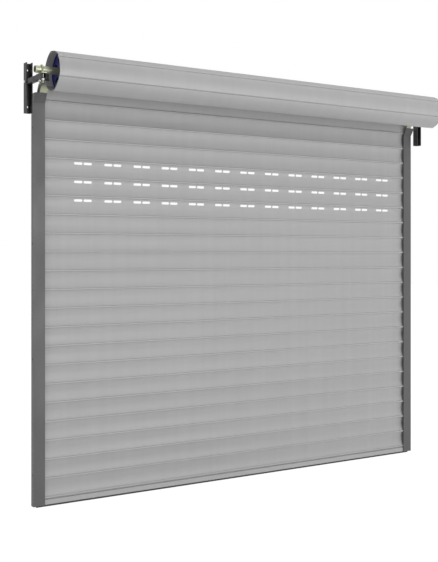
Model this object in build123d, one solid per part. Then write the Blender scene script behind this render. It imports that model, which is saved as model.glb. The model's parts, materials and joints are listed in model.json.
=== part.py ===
from build123d import *
from math import atan2, cos, degrees, hypot, radians, sin, sqrt
import os

# Exterior roller shutter, closed, built around a steel curtain of hooked slats.
# X runs across the opening, +Y points out of the building, +Z is up.
# The origin is on the sill, under the middle of the curtain. Lengths are in millimetres.

# Curtain
slat_pitch = 115.0
slat_length = 3030.0
slat_count = 21
slat_sheet = 1.0
slat_body_radius = 150.0
slat_body_shift = 6.0
hook_radius = 5.5
curl_radius = 3.5
neck_radius = 3.0
shoulder_radius = 6.0
hook_tail_angle = 290.0
curl_tail_angle = 240.0
shoulder_direction = -60.0
hinge_line_y = -5.25
first_seam_height = 54.8

# Vent slots
first_slotted_slat = 16
slotted_slat_rows = 3
slot_groups = 13
slot_left_margin = 310.2
slot_right_margin = 250.2
slot_length = 56.0
slot_bridge = 8.0
slot_height = 15.0
slot_corner = 5.0
slot_below_seam = 25.0

# Bottom rail and seal
rail_top = 42.0
rail_bottom = 12.0
rail_depth = 18.0
rail_wall = 2.0
rail_groove_width = 6.4
seal_stem_width = 6.0
seal_head_width = 12.0
seal_head_height = 3.0
seal_bulb_width = 12.0
seal_lift = 0.3

# End clips that stop the slats from drifting sideways
clip_length = 27.0
clip_overhang = 4.0
clip_sheet = 2.0
clip_height = 60.0
clip_seat_gap = 0.2

# Guides
guide_end_gap = 25.0
guide_width = 75.0
guide_gap = 30.0
guide_sheet = 2.5
guide_bottom = 10.0
guide_flare_drop = 19.8
guide_flare_height = 57.0
guide_flare_angle = 30.0
liner_clearance = 0.3
liner_width = 25.0
liner_inset = 3.0
jamb_hole_radius = 5.5
jamb_hole_count = 4
jamb_hole_first = 200.0
jamb_hole_drop = 150.0

# Inlet horns at the guide tops
inlet_sheet = 3.0
inlet_overlap = 30.0
inlet_bend_radius = 110.0
inlet_end_angle = 62.0
inlet_width = 45.0

# Roll
slats_per_turn = 6
roll_joint_angle = 21.0
lower_lead_lean = 28.27
upper_lead_lean = 49.86
leading_slat_cut = 12.0
turn_clearance = 0.5

# Drums
drum_recess = 41.0
drum_width = 100.0
drum_inner_place_share = 0.34
drum_sheet = 2.0
drum_face_sheet = 2.5
drum_lip = 8.0
hub_radius = 34.0
spoke_window_inner = 44.0
spoke_window_outer = 88.0
spoke_window_angle = 46.0
spoke_count = 5
bush_wall = 5.0
bush_length = 14.0
bush_flange_radius = 31.0
bush_flange_sheet = 3.0
running_clearance = 0.05
collar_radius = 30.0
collar_width = 46.0
spring_turns = 4
spring_sheet = 3.0

# Clips that fix the leading slat to the drums
lead_clip_span = 26.0
lead_screw_radius = 4.0
lead_screw_head_radius = 7.0
lead_screw_head = 3.0
lead_screw_spacing = 34.0

# Axle and its brackets
axle_radius = 21.0
axle_wall = 3.2
axle_overhang = 20.0
channel_width = 40.0
channel_depth = 45.0
channel_wall = 5.0
channel_side_gap = 22.0
channel_below_arm = 201.0
channel_height = 300.0
wall_face_y = -20.0
bracket_hole_radius = 6.5
bracket_hole_spacing = 220.0
arm_side = 30.0
arm_wall = 3.0
arm_overrun = 42.0
arm_bolt_radius = 5.0
arm_bolt_head = 6.5
arm_bolt_head_radius = 9.0
arm_bolt_reach = 10.0
saddle_sheet = 4.0
saddle_length = 90.0
saddle_cheek = 12.0
u_bolt_radius = 4.5
u_bolt_clearance = 0.4
u_bolt_tail = 18.0
nut_radius = 8.5
nut_height = 8.0

# Fits shared by the whole assembly
seat_gap = 0.3
hole_clearance = 0.5
overrun = 5.0

# Derived sizes and places
half_curtain = slat_length / 2
seam_heights = [first_seam_height + n * slat_pitch for n in range(slat_count + 1)]
slot_spacing = (slat_length - slot_left_margin - slot_right_margin) / (slot_groups - 1)
slat_reach = hook_radius + slat_sheet / 2 - hinge_line_y
turn_step = 360.0 / slats_per_turn
roll_hinge_radius = slat_pitch / 2 / sin(radians(turn_step / 2))
drum_radius = roll_hinge_radius - hook_radius - slat_sheet / 2 - turn_clearance
spring_inner_radius = collar_radius + spring_sheet / 2 + seat_gap
spring_outer_radius = drum_radius - drum_sheet - spring_sheet / 2 - seat_gap
spring_strip = drum_width - 2 * (drum_lip + bush_length + seat_gap)
lead_clip_width = spring_strip
guide_outer_x = half_curtain + guide_end_gap
guide_flare_start = seam_heights[-1] - guide_flare_drop
guide_top = guide_flare_start + guide_flare_height
liner_sheet = guide_gap / 2 - slat_reach - liner_clearance
jamb_hole_pitch = (guide_flare_start - jamb_hole_drop - jamb_hole_first) / (jamb_hole_count - 1)
channel_inner_x = guide_outer_x + channel_side_gap
axle_length = 2 * (channel_inner_x + channel_width + axle_overhang)
parts_folder = "parts"


def save(name, shape):
    """Write one node; several solids stay a group in it."""
    shape.label = name
    export_step(shape, os.path.join(parts_folder, name + ".step"))


def meet(centre_a, radius_a, centre_b, radius_b):
    """Return the crossing of two circles that lies furthest along local X."""
    dx = centre_b[0] - centre_a[0]
    dy = centre_b[1] - centre_a[1]
    gap = hypot(dx, dy)
    along = (radius_a**2 - radius_b**2 + gap**2) / (2 * gap)
    aside = sqrt(radius_a**2 - along**2)
    foot = (centre_a[0] + along * dx / gap, centre_a[1] + along * dy / gap)
    first = (foot[0] + aside * dy / gap, foot[1] - aside * dx / gap)
    second = (foot[0] - aside * dy / gap, foot[1] + aside * dx / gap)
    return max(first, second)


def bearing(point, centre):
    """Return the angle in degrees at which a point is seen from a centre."""
    return degrees(atan2(point[1] - centre[1], point[0] - centre[0]))


def polar(centre, radius, angle):
    """Return the point at a radius and an angle in degrees."""
    return (centre[0] + radius * cos(radians(angle)), centre[1] + radius * sin(radians(angle)))


def lead_points():
    """Return the hinge points from the curtain's top, over the leaning slats, to the axle."""
    top = (hinge_line_y, seam_heights[-1])
    middle = polar(top, slat_pitch, lower_lead_lean + 90.0)
    end = polar(middle, slat_pitch, upper_lead_lean + 90.0)
    return top, middle, end, polar(end, -roll_hinge_radius, roll_joint_angle)


roll_axis_y, roll_axis_z = lead_points()[-1]


def ribbon(arcs, sheet):
    """Return the face of a bent sheet whose middle line is a chain of tangent arcs.

    Each arc is a centre, a radius, a start angle and an end angle in degrees.
    """
    near = []
    far = []
    for centre, radius, start, end in arcs:
        side = sheet / 2 if end > start else -sheet / 2
        near.append(CenterArc(centre, radius - side, start, end - start))
        far.append(CenterArc(centre, radius + side, start, end - start))
    caps = [Line(near[0] @ 0, far[0] @ 0), Line(near[-1] @ 1, far[-1] @ 1)]
    return make_face(near + far + caps)


def across(face, length, centre_x=0.0):
    """Extrude a face drawn in the YZ plane along X, about a centre."""
    solid = extrude(Plane.YZ * face, amount=length / 2, both=True)
    return Pos(centre_x, 0, 0) * solid


def slat_arcs():
    """Return the middle line of a slat: hook, neck, body, shoulder and curl.

    The hook turns about (0, 0) and the curl about (0, pitch); local X points out.
    """
    curl_centre = (0.0, slat_pitch)
    shoulder_centre = polar(curl_centre, shoulder_radius - curl_radius, shoulder_direction)
    body_height = slat_pitch / 2 + slat_body_shift
    body_reach = slat_body_radius - shoulder_radius
    body_x = shoulder_centre[0] - sqrt(body_reach**2 - (shoulder_centre[1] - body_height) ** 2)
    body_centre = (body_x, body_height)
    neck_centre = meet((0.0, 0.0), hook_radius + neck_radius, body_centre, slat_body_radius - neck_radius)
    hook_end = bearing(neck_centre, (0.0, 0.0))
    neck_end = bearing(neck_centre, body_centre)
    body_end = bearing(shoulder_centre, body_centre)
    shoulder_end = shoulder_direction + 180.0
    return [
        ((0.0, 0.0), hook_radius, hook_tail_angle, hook_end),
        (neck_centre, neck_radius, hook_end - 180.0, neck_end),
        (body_centre, slat_body_radius, neck_end, body_end),
        (shoulder_centre, shoulder_radius, body_end, shoulder_end),
        (curl_centre, curl_radius, shoulder_end, curl_tail_angle),
    ]


def slat_solid():
    """Return one slat in its local place, hook at the origin."""
    return across(ribbon(slat_arcs(), slat_sheet), slat_length)


def seat_slat(slat, hinge, lean):
    """Put a slat's hook on a hinge point and lean it inwards by an angle."""
    return Pos(0, hinge[0], hinge[1]) * Rot(lean, 0, 0) * slat


def slot_solid():
    """Return the cutters for one slat's row of vent slots."""
    height = slat_pitch - slot_below_seam
    outline = Rectangle(slot_length, slot_height)
    cut = Plane.XZ * chamfer(outline.vertices(), slot_corner)
    one = Pos(0, slat_pitch, height) * extrude(cut, amount=2 * slat_pitch)
    step = (slot_length + slot_bridge) / 2
    cutters = []
    for group in range(slot_groups):
        centre = slot_left_margin - half_curtain + group * slot_spacing
        cutters.append(Pos(centre - step, 0, 0) * one)
        cutters.append(Pos(centre + step, 0, 0) * one)
    return cutters


def hanging_slats():
    """Write the straight curtain, one node for each slat."""
    plain = slat_solid()
    slotted = plain - slot_solid()
    for number in range(1, slat_count + 1):
        row = number - first_slotted_slat
        slat = slotted if 0 <= row < slotted_slat_rows else plain
        hinge = (hinge_line_y, seam_heights[number - 1])
        save(f"slat_{number:02d}", seat_slat(slat, hinge, 0))


def roll_point(angle, radius=roll_hinge_radius):
    """Return the point in the YZ plane at an angle round the axle."""
    return polar((roll_axis_y, roll_axis_z), radius, angle)


def lead_slats():
    """Write the two slats that lean from the guide tops to the roll."""
    top, middle, _, _ = lead_points()
    save("lead_slat_lower", seat_slat(slat_solid(), top, lower_lead_lean))
    save("lead_slat_upper", seat_slat(slat_solid(), middle, upper_lead_lean))


def wound_slats():
    """Write the turn of slats on the drums; the first one in has no curl."""
    plain = slat_solid()
    for number in range(1, slats_per_turn):
        angle = roll_joint_angle + (slats_per_turn - 1 - number) * turn_step
        slat = seat_slat(plain, roll_point(angle), angle + turn_step / 2)
        save(f"wound_slat_{number}", slat)
    angle = roll_joint_angle + (slats_per_turn - 1) * turn_step
    curl_zone = Box(slat_length + overrun, slat_pitch, slat_pitch)
    low = slat_pitch - leading_slat_cut + slat_pitch / 2
    leading = plain - Pos(0, 0, low) * curl_zone
    leading = seat_slat(leading, roll_point(angle), angle + turn_step / 2)
    save("leading_slat", leading - lead_screw_cutters(lead_screw_radius + hole_clearance))


def drum_places():
    """Return the X of each drum's middle, end drums first and last."""
    end_x = half_curtain - drum_recess - drum_width / 2
    inner_x = end_x * drum_inner_place_share
    return [-end_x, -inner_x, inner_x, end_x]


def roll_cylinder(radius, length, centre_x):
    """Return a cylinder on the axle's line."""
    return Pos(centre_x, roll_axis_y, roll_axis_z) * Rot(0, 90, 0) * Cylinder(radius, length)


def ring(outer, inner, length, centre_x):
    """Return a ring on the axle's line."""
    return roll_cylinder(outer, length, centre_x) - roll_cylinder(inner, length + overrun, centre_x)


def window(angle):
    """Return one drum window as a face in the YZ plane about the axle."""
    half = spoke_window_angle / 2
    outer = CenterArc((0, 0), spoke_window_outer, angle - half, spoke_window_angle)
    inner = CenterArc((0, 0), spoke_window_inner, angle - half, spoke_window_angle)
    sides = [Line(inner @ 0, outer @ 0), Line(inner @ 1, outer @ 1)]
    return make_face([outer, inner] + sides)


def drum_solid(centre_x):
    """Return a drum: a rim, two faces with windows and a hub at each face."""
    bore = axle_radius + bush_wall + running_clearance
    shell = ring(drum_radius, drum_radius - drum_sheet, drum_width, centre_x)
    for side in (-1, 1):
        face_x = centre_x + side * (drum_width / 2 - drum_lip - drum_face_sheet / 2)
        shell += ring(drum_radius - drum_sheet / 2, bore, drum_face_sheet, face_x)
        hub_x = centre_x + side * (drum_width / 2 - drum_lip - bush_length / 2)
        shell += ring(hub_radius, bore, bush_length, hub_x)
    cutters = []
    outward = 1 if centre_x > 0 else -1
    for spoke in range(spoke_count):
        face = window(spoke * 360.0 / spoke_count + 90.0)
        cut = across(face, drum_width, centre_x + outward * drum_width / 2)
        cutters.append(Pos(0, roll_axis_y, roll_axis_z) * cut)
    return shell - cutters


def spring_solid(centre_x):
    """Return a drum's flat spring as its outer turns and the tail to the collar."""
    face = ribbon(spring_arcs(), spring_sheet)
    return Pos(0, roll_axis_y, roll_axis_z) * across(face, spring_strip, centre_x)


def spring_arcs():
    """Return half turns of growing radius, from the collar to the rim."""
    halves = 2 * spring_turns
    growth = (spring_outer_radius - spring_inner_radius) / halves
    arcs = []
    centre_y = 0.0
    for half in range(halves):
        radius = spring_inner_radius + half * growth
        start = 180.0 * half
        arcs.append(((centre_y, 0.0), radius, start, start + 180.0))
        centre_y += growth if half % 2 == 0 else -growth
    return arcs


def drums():
    """Write the drums with their bushes, springs and collars."""
    names = ["drum_left_end", "drum_left_inner", "drum_right_inner", "drum_right_end"]
    bushes = []
    springs = []
    collars = []
    for name, centre_x in zip(names, drum_places()):
        save(name, drum_solid(centre_x))
        for side in (-1, 1):
            bushes.append(bush_solid(centre_x, side))
        springs.append(spring_solid(centre_x))
        collars.append(ring(collar_radius, axle_radius, collar_width, centre_x))
    save("drum_bushes", Compound(children=bushes))
    save("drum_springs", Compound(children=springs))
    save("spring_collars", Compound(children=collars))


def bush_solid(centre_x, side):
    """Return one flanged bush, pressed into a hub from outside."""
    inner = axle_radius + running_clearance
    outer = axle_radius + bush_wall + running_clearance
    hub_end = drum_width / 2 - drum_lip
    sleeve_x = centre_x + side * (hub_end - bush_length / 2)
    flange_x = centre_x + side * (hub_end + bush_flange_sheet / 2)
    sleeve = ring(outer, inner, bush_length, sleeve_x)
    return sleeve + ring(bush_flange_radius, inner, bush_flange_sheet, flange_x)


def lead_screw_cutters(radius):
    """Return radial cylinders at the screws of the leading slat."""
    cutters = []
    for centre_x in drum_places():
        for side in (-1, 1):
            cutters.append(radial_cylinder(radius, centre_x + side * lead_screw_spacing / 2, 0, slat_pitch))
    return cutters


def radial_cylinder(radius, centre_x, low, high):
    """Return a cylinder that stands on the rim at the leading slat's clip."""
    base = drum_radius + low
    solid = Pos(centre_x, base + (high - low) / 2, 0) * Rot(90, 0, 0) * Cylinder(radius, high - low)
    return on_clip_line(solid)


def on_clip_line(solid):
    """Turn a solid that stands on local +Y onto the radius through the leading slat's middle."""
    angle = roll_joint_angle + (slats_per_turn - 1 / 2) * turn_step
    return Pos(0, roll_axis_y, roll_axis_z) * Rot(angle, 0, 0) * solid


def lead_slat_centre():
    """Return where the leading slat's body bends about, along and across the radius through its middle."""
    body_along, body_across = slat_arcs()[2][0]
    middle_radius = roll_hinge_radius * cos(radians(turn_step / 2))
    return middle_radius + body_along, body_across - slat_pitch / 2


def lead_clip_top():
    """Return the radius at which the clips meet the leading slat's inner face."""
    along, aside = lead_slat_centre()
    inner = slat_body_radius - slat_sheet / 2
    return along + sqrt(inner**2 - aside**2)


def leading_clips():
    """Write the clips and screws that hold the leading slat on the drums."""
    top = lead_clip_top()
    low = drum_radius
    along, aside = lead_slat_centre()
    under_slat = Cylinder(slat_body_radius - slat_sheet / 2 - seat_gap, slat_length)
    under_slat = on_clip_line(Pos(0, along, aside) * Rot(0, 90, 0) * under_slat)
    rim = roll_cylinder(low + seat_gap, slat_length, 0)
    clips = []
    screws = []
    for centre_x in drum_places():
        block = Pos(centre_x, (top + low) / 2, 0) * Box(lead_clip_width, top - low, lead_clip_span)
        clip = on_clip_line(block) & under_slat
        clips.append(clip - lead_screw_cutters(lead_screw_radius) - rim)
        for side in (-1, 1):
            screws.append(lead_screw(centre_x + side * lead_screw_spacing / 2, top - low))
    save("leading_clips", Compound(children=clips))
    save("leading_screws", Compound(children=screws))


def lead_screw(centre_x, top):
    """Return one pan-head screw through the leading slat into its clip."""
    head_low = top + slat_sheet + hole_clearance
    shank = radial_cylinder(lead_screw_radius - seat_gap, centre_x, seat_gap, head_low)
    return shank + radial_cylinder(lead_screw_head_radius, centre_x, head_low, head_low + lead_screw_head)


def bottom_rail():
    """Write the hollow bottom rail, hung from the lowest hook by its own curl."""
    arcs = slat_arcs()[3:]
    shift = first_seam_height - slat_pitch
    moved = [((c[0] + hinge_line_y, c[1] + shift), r, a, b) for c, r, a, b in arcs]
    centre, radius, start, end = moved[0]
    moved[0] = (centre, radius, 0.0, end)
    hanger = ribbon(moved, slat_sheet)
    leg_x = centre[0] + radius
    leg_height = centre[1] - rail_top + rail_wall / 2
    leg = Pos(leg_x, centre[1] - leg_height / 2) * Rectangle(slat_sheet, leg_height)
    height = rail_top - rail_bottom
    middle = (rail_top + rail_bottom) / 2
    box = Pos(0, middle) * Rectangle(rail_depth, height)
    box -= Pos(0, middle) * Rectangle(rail_depth - 2 * rail_wall, height - 2 * rail_wall)
    box -= Pos(0, rail_bottom) * Rectangle(rail_groove_width, 2 * rail_wall + overrun)
    save("bottom_rail", across(hanger + leg + box, slat_length))


def bottom_seal():
    """Write the rubber seal: a head in the rail, a stem and a bulb on the sill."""
    head_low = rail_bottom + rail_wall + seal_lift
    head = Pos(0, head_low + seal_head_height / 2) * Rectangle(seal_head_width, seal_head_height)
    bulb_high = rail_bottom - seal_lift
    bulb = Pos(0, bulb_high / 2) * Rectangle(seal_bulb_width, bulb_high)
    bulb = fillet(bulb.vertices().sort_by(Axis.Y)[:2], seal_bulb_width / 4)
    bore = Pos(0, bulb_high / 2) * Circle(seal_bulb_width / 4)
    stem_height = head_low - bulb_high + seal_head_height
    stem = Pos(0, bulb_high + stem_height / 2) * Rectangle(seal_stem_width, stem_height)
    save("bottom_seal", across(head + stem + bulb - bore, slat_length))


def end_clips():
    """Write the clips at both ends of every second slat, one group."""
    body = slat_arcs()[2]
    radius = slat_body_radius - slat_sheet / 2 - clip_seat_gap - clip_sheet / 2
    half = degrees(clip_height / 2 / radius)
    face = ribbon([(body[0], radius, half, -half)], clip_sheet)
    reach = half_curtain + clip_overhang - clip_length / 2
    clips = []
    for number in range(1, slat_count + 1, 2):
        place = Pos(0, hinge_line_y, seam_heights[number - 1])
        for side in (-1, 1):
            clips.append(place * across(face, clip_length, side * reach))
    save("slat_end_clips", Compound(children=clips))


def guide(side, name):
    """Write a guide: a U of sheet whose front flange flares out at the top."""
    centre_x = side * (guide_outer_x - guide_width / 2)
    front = -guide_gap / 2
    lean = radians(guide_flare_angle)
    rise = guide_top - guide_flare_start
    flare = rise * sin(lean) / cos(lean)
    inner_line = [(front, guide_bottom), (front, guide_flare_start), (front - flare, guide_top)]
    thick = guide_sheet / cos(lean)
    kink = guide_sheet * (1 - cos(lean)) / sin(lean)
    outer_line = [
        (front - flare - thick, guide_top),
        (front - guide_sheet, guide_flare_start + kink),
        (front - guide_sheet, guide_bottom),
    ]
    flange = make_face(Polyline(*inner_line, *outer_line, close=True))
    back_x = guide_gap / 2 + guide_sheet
    back = make_face(Polyline(*rectangle_points(back_x - guide_sheet, back_x), close=True))
    web_line = [(back_x, guide_bottom), (back_x, guide_top)] + outer_line
    web = make_face(Polyline(*web_line, close=True))
    web_x = side * (guide_outer_x - guide_sheet / 2)
    solid = across(flange, guide_width, centre_x) + across(back, guide_width, centre_x)
    solid += across(web, guide_sheet, web_x)
    save(name, solid - jamb_hole_cutters(side))


def rectangle_points(low_y, high_y):
    """Return the corners of the guide's straight back flange."""
    return [(low_y, guide_bottom), (high_y, guide_bottom), (high_y, guide_top), (low_y, guide_top)]


def jamb_hole_cutters(side):
    """Return the cutters of the guide's fixing holes, up its web."""
    hole = Rot(0, 90, 0) * Cylinder(jamb_hole_radius, guide_width / 2)
    heights = [jamb_hole_first + n * jamb_hole_pitch for n in range(jamb_hole_count)]
    return [Pos(side * guide_outer_x, 0, height) * hole for height in heights]


def guide_liners(side, name):
    """Write the two nylon strips that quieten the slats in one guide."""
    length = guide_flare_start - guide_bottom
    middle = (guide_flare_start + guide_bottom) / 2
    centre_x = side * (guide_outer_x - guide_width + liner_inset + liner_width / 2)
    strips = []
    for face in (-1, 1):
        strip_y = face * (guide_gap - liner_sheet) / 2
        strips.append(Pos(centre_x, strip_y, middle) * Box(liner_width, liner_sheet, length))
    save(name, Compound(children=strips))


def inlet_horn(side, name):
    """Write the curved horn welded inside the flare, which leads the slats in."""
    lean = guide_flare_angle
    flare = (guide_top - guide_flare_start) * sin(radians(lean)) / cos(radians(lean))
    foot = (-guide_gap / 2 - flare, guide_top)
    seat = polar(foot, inlet_sheet / 2, lean)
    start = polar(seat, inlet_overlap, lean - 90.0)
    centre = polar(seat, inlet_bend_radius, lean + 180.0)
    bend = ribbon([(centre, inlet_bend_radius, lean, inlet_end_angle)], inlet_sheet)
    tab_middle = ((seat[0] + start[0]) / 2, (seat[1] + start[1]) / 2)
    tab = Pos(*tab_middle) * Rot(0, 0, lean) * Rectangle(inlet_sheet, inlet_overlap)
    centre_x = side * (guide_outer_x - guide_width + inlet_width / 2)
    save(name, across(bend + tab, inlet_width, centre_x))


def bracket(side, label):
    """Write one end bracket: wall channel, arm, saddle and their fasteners."""
    centre_x = side * (channel_inner_x + channel_width / 2)
    middle_z = arm_top() - channel_below_arm + channel_height / 2
    channel_y = wall_face_y - channel_depth / 2
    channel = Pos(centre_x, channel_y, middle_z) * Box(channel_width, channel_depth, channel_height)
    hollow = Box(channel_width - 2 * channel_wall, channel_depth, channel_height + overrun)
    channel -= Pos(centre_x, channel_y - channel_wall, middle_z) * hollow
    for level in (-1, 1):
        hole = Rot(90, 0, 0) * Cylinder(bracket_hole_radius, 2 * channel_depth)
        channel -= Pos(centre_x, channel_y, middle_z + level * bracket_hole_spacing / 2) * hole
    channel -= arm_bolt_hole(centre_x)
    save("bracket_channel_" + label, channel)
    arm_end = roll_axis_y - arm_overrun
    arm_start = wall_face_y - channel_wall
    arm_length = arm_start - arm_end
    arm_place = Pos(centre_x, (arm_start + arm_end) / 2, arm_top() - arm_side / 2)
    arm = arm_place * Box(arm_side, arm_length, arm_side)
    arm -= arm_place * Box(arm_side - 2 * arm_wall, arm_length + overrun, arm_side - 2 * arm_wall)
    arm = arm - arm_bolt_hole(centre_x) - u_bolt_holes(centre_x)
    save("bracket_arm_" + label, arm)
    saddle = Box(arm_side, saddle_length, saddle_sheet)
    saddle = Pos(centre_x, roll_axis_y, arm_top() + saddle_sheet / 2) * saddle
    cheek_height = axle_radius
    cheek_z = arm_top() + saddle_sheet + cheek_height / 2
    saddle += Pos(centre_x, roll_axis_y, cheek_z) * Box(saddle_cheek, 2 * axle_radius, cheek_height)
    saddle = saddle - roll_cylinder(axle_radius, axle_length, 0) - u_bolt_holes(centre_x)
    save("axle_saddle_" + label, saddle)


def arm_top():
    """Return the height of the arms' upper face, under the saddles."""
    return roll_axis_z - axle_radius - saddle_sheet


def arm_bolt_place():
    """Return the Y and Z of the bolt through a channel and its arm."""
    return (wall_face_y - (channel_wall + channel_depth) / 2, arm_top() - arm_side / 2)


def arm_bolt_hole(centre_x):
    """Return the cutter of the bolt hole through a channel and its arm."""
    place_y, place_z = arm_bolt_place()
    hole = Rot(0, 90, 0) * Cylinder(arm_bolt_radius + hole_clearance, 2 * channel_width)
    return Pos(centre_x, place_y, place_z) * hole


def hexagon(radius, height):
    """Return a six-sided head or nut along Z."""
    return extrude(RegularPolygon(radius, 6), amount=height / 2, both=True)


def arm_bolts():
    """Write the bolts and nuts that hold the arms in the channels."""
    place_y, place_z = arm_bolt_place()
    solids = []
    for side in (-1, 1):
        centre_x = side * (channel_inner_x + channel_width / 2)
        grip = channel_width / 2 + seat_gap
        shank = Cylinder(arm_bolt_radius, 2 * grip + arm_bolt_reach + arm_bolt_head)
        bolt = Pos(0, 0, -(arm_bolt_reach + arm_bolt_head) / 2 + arm_bolt_head) * shank
        bolt += Pos(0, 0, grip + arm_bolt_head / 2) * hexagon(arm_bolt_head_radius, arm_bolt_head)
        nut = hexagon(arm_bolt_head_radius, arm_bolt_head)
        nut -= Cylinder(arm_bolt_radius + seat_gap, 2 * arm_bolt_head)
        nut = Pos(0, 0, -grip - arm_bolt_head / 2) * nut
        place = Pos(centre_x, place_y, place_z) * Rot(0, side * 90, 0)
        solids += [place * bolt, place * nut]
    save("arm_bolts", Compound(children=solids))


def u_bolt_span():
    """Return the distance from the axle's line to a leg of a U-bolt."""
    return axle_radius + u_bolt_clearance + u_bolt_radius


def u_bolt_holes(centre_x):
    """Return the cutters of a U-bolt's two legs."""
    hole = Cylinder(u_bolt_radius + hole_clearance, 4 * arm_side)
    return [Pos(centre_x, roll_axis_y + side * u_bolt_span(), arm_top()) * hole for side in (-1, 1)]


def u_bolts():
    """Write the U-bolts over the axle and the nuts under the arms."""
    leg = axle_radius + saddle_sheet + arm_side + nut_height + u_bolt_tail
    bolts = []
    nuts = []
    for side in (-1, 1):
        centre_x = side * (channel_inner_x + channel_width / 2)
        place = Pos(centre_x, roll_axis_y, roll_axis_z)
        arc = CenterArc((0, 0), u_bolt_span(), 0, 180)
        left = Line((-u_bolt_span(), 0), (-u_bolt_span(), -leg))
        right = Line((u_bolt_span(), -leg), (u_bolt_span(), 0))
        path = Plane.YZ * Wire([right, arc, left])
        profile = Plane(path @ 0, z_dir=path % 0) * Circle(u_bolt_radius)
        bolts.append(place * sweep(profile, path=path))
        for edge in (-1, 1):
            nut = hexagon(nut_radius, nut_height) - Cylinder(u_bolt_radius + seat_gap, 2 * nut_height)
            nut_z = arm_top() - arm_side - seat_gap - nut_height / 2
            nuts.append(Pos(centre_x, roll_axis_y + edge * u_bolt_span(), nut_z) * nut)
    save("axle_u_bolts", Compound(children=bolts))
    save("u_bolt_nuts", Compound(children=nuts))


def axle():
    """Write the fixed axle tube."""
    save("axle_tube", ring(axle_radius, axle_radius - axle_wall, axle_length, 0))


def build():
    """Build and write every node."""
    os.makedirs(parts_folder, exist_ok=True)
    hanging_slats()
    lead_slats()
    wound_slats()
    drums()
    leading_clips()
    bottom_rail()
    bottom_seal()
    end_clips()
    for side, label in ((-1, "left"), (1, "right")):
        guide(side, "guide_" + label)
        guide_liners(side, "guide_liners_" + label)
        inlet_horn(side, "inlet_horn_" + label)
        bracket(side, label)
    arm_bolts()
    u_bolts()
    axle()
    print("roll axis", round(roll_axis_y, 4), round(roll_axis_z, 4), "drum radius", round(drum_radius, 2))


build()
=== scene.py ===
# %% [markdown]
# An exterior roller shutter, closed
#
# Steel slats hang hooked into each other between two guides, and wind onto drums above the
# opening. The construction comes in as a fixed frame: its pieces already have their real size and
# place. All of it could be drawn again here, but then two models would have to agree. So this
# lesson dresses the frame: it rolls the slats' fine shape, adds springs, locks, threads and
# welds, gives every surface its finish, and lights the scene like the photograph.

import json
from math import atan2, cos, degrees, hypot, pi, radians, sin, sqrt

import bmesh
import bpy
from mathutils import Matrix, Vector


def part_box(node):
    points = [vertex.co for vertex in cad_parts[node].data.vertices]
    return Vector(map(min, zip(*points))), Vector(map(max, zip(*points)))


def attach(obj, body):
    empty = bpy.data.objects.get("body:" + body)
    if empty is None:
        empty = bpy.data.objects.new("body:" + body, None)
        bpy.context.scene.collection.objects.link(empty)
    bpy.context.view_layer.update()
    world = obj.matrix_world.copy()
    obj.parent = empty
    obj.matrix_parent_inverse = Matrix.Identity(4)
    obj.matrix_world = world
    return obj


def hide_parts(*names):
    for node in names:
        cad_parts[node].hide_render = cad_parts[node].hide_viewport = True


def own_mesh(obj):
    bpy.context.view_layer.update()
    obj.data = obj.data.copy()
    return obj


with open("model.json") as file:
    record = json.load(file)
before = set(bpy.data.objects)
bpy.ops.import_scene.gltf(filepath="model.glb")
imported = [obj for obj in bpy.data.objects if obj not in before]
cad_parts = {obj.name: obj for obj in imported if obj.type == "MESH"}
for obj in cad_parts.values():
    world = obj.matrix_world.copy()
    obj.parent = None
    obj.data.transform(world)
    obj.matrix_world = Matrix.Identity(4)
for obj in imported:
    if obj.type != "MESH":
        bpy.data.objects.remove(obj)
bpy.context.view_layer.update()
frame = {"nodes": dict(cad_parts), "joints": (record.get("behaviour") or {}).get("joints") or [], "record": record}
nodes = frame["nodes"]

# %% [markdown]
# The curtain's sizes could be typed in, but they are read from the frame, so that each new piece
# lies where the old one did. A slat's lowest point is under its hook, and the next slat's hook is
# one pitch higher. Only the slat's sheet and bends are given here, because a box doesn't show
# them.

# %% Sizes read from the frame
SHEET = 0.001
HOOK = 0.0055
CURL = 0.0035
NECK = 0.003
SHOULDER = 0.006
BODY = 0.150
BODY_SHIFT = 0.006
HOOK_TAIL = 290.0
CURL_TAIL = 240.0
SHOULDER_DIRECTION = -60.0


def middle(name):
    """The middle of a frame piece's box."""
    return [(low + high) / 2 for low, high in zip(*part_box(name))]


def span(name):
    """The size of a frame piece's box along X, Y and Z."""
    return [high - low for low, high in zip(*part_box(name))]


slat_low, slat_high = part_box("slat_01")
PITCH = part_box("slat_02")[0].z - slat_low.z
HALF = slat_high.x
HINGE_Y = slat_low.y + HOOK + SHEET / 2
FIRST_SEAM = slat_low.z + HOOK + SHEET / 2
SLATS = len([name for name in nodes if name.startswith("slat_") and name[-2:].isdigit()])
TOP_SEAM = FIRST_SEAM + SLATS * PITCH
joints = {joint["name"]: joint for joint in frame["joints"]}
_, AXLE_Y, AXLE_Z = joints["roll_turn"]["pos_m"]
TRAVEL = joints["curtain_lift"]["range_m"][1]
print("slats", SLATS, "pitch", round(PITCH, 4), "half length", round(HALF, 4))
print("axle at", AXLE_Y, AXLE_Z, "travel", TRAVEL)

# %% [markdown]
# A slat is one strip of steel, roll-formed into a chain of arcs that meet smoothly: a hook at the
# foot, a tight neck, a long shallow body, a shoulder and a curl at the head. A traced outline
# would show its corners close up. Drawn from its arcs, the slat stays true at any resolution.

# %% Points and angles
def polar(centre, radius, angle):
    """The point at a radius and an angle in degrees."""
    return (centre[0] + radius * cos(radians(angle)), centre[1] + radius * sin(radians(angle)))


def bearing(point, centre):
    """The angle in degrees at which a point is seen from a centre."""
    return degrees(atan2(point[1] - centre[1], point[0] - centre[0]))


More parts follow.
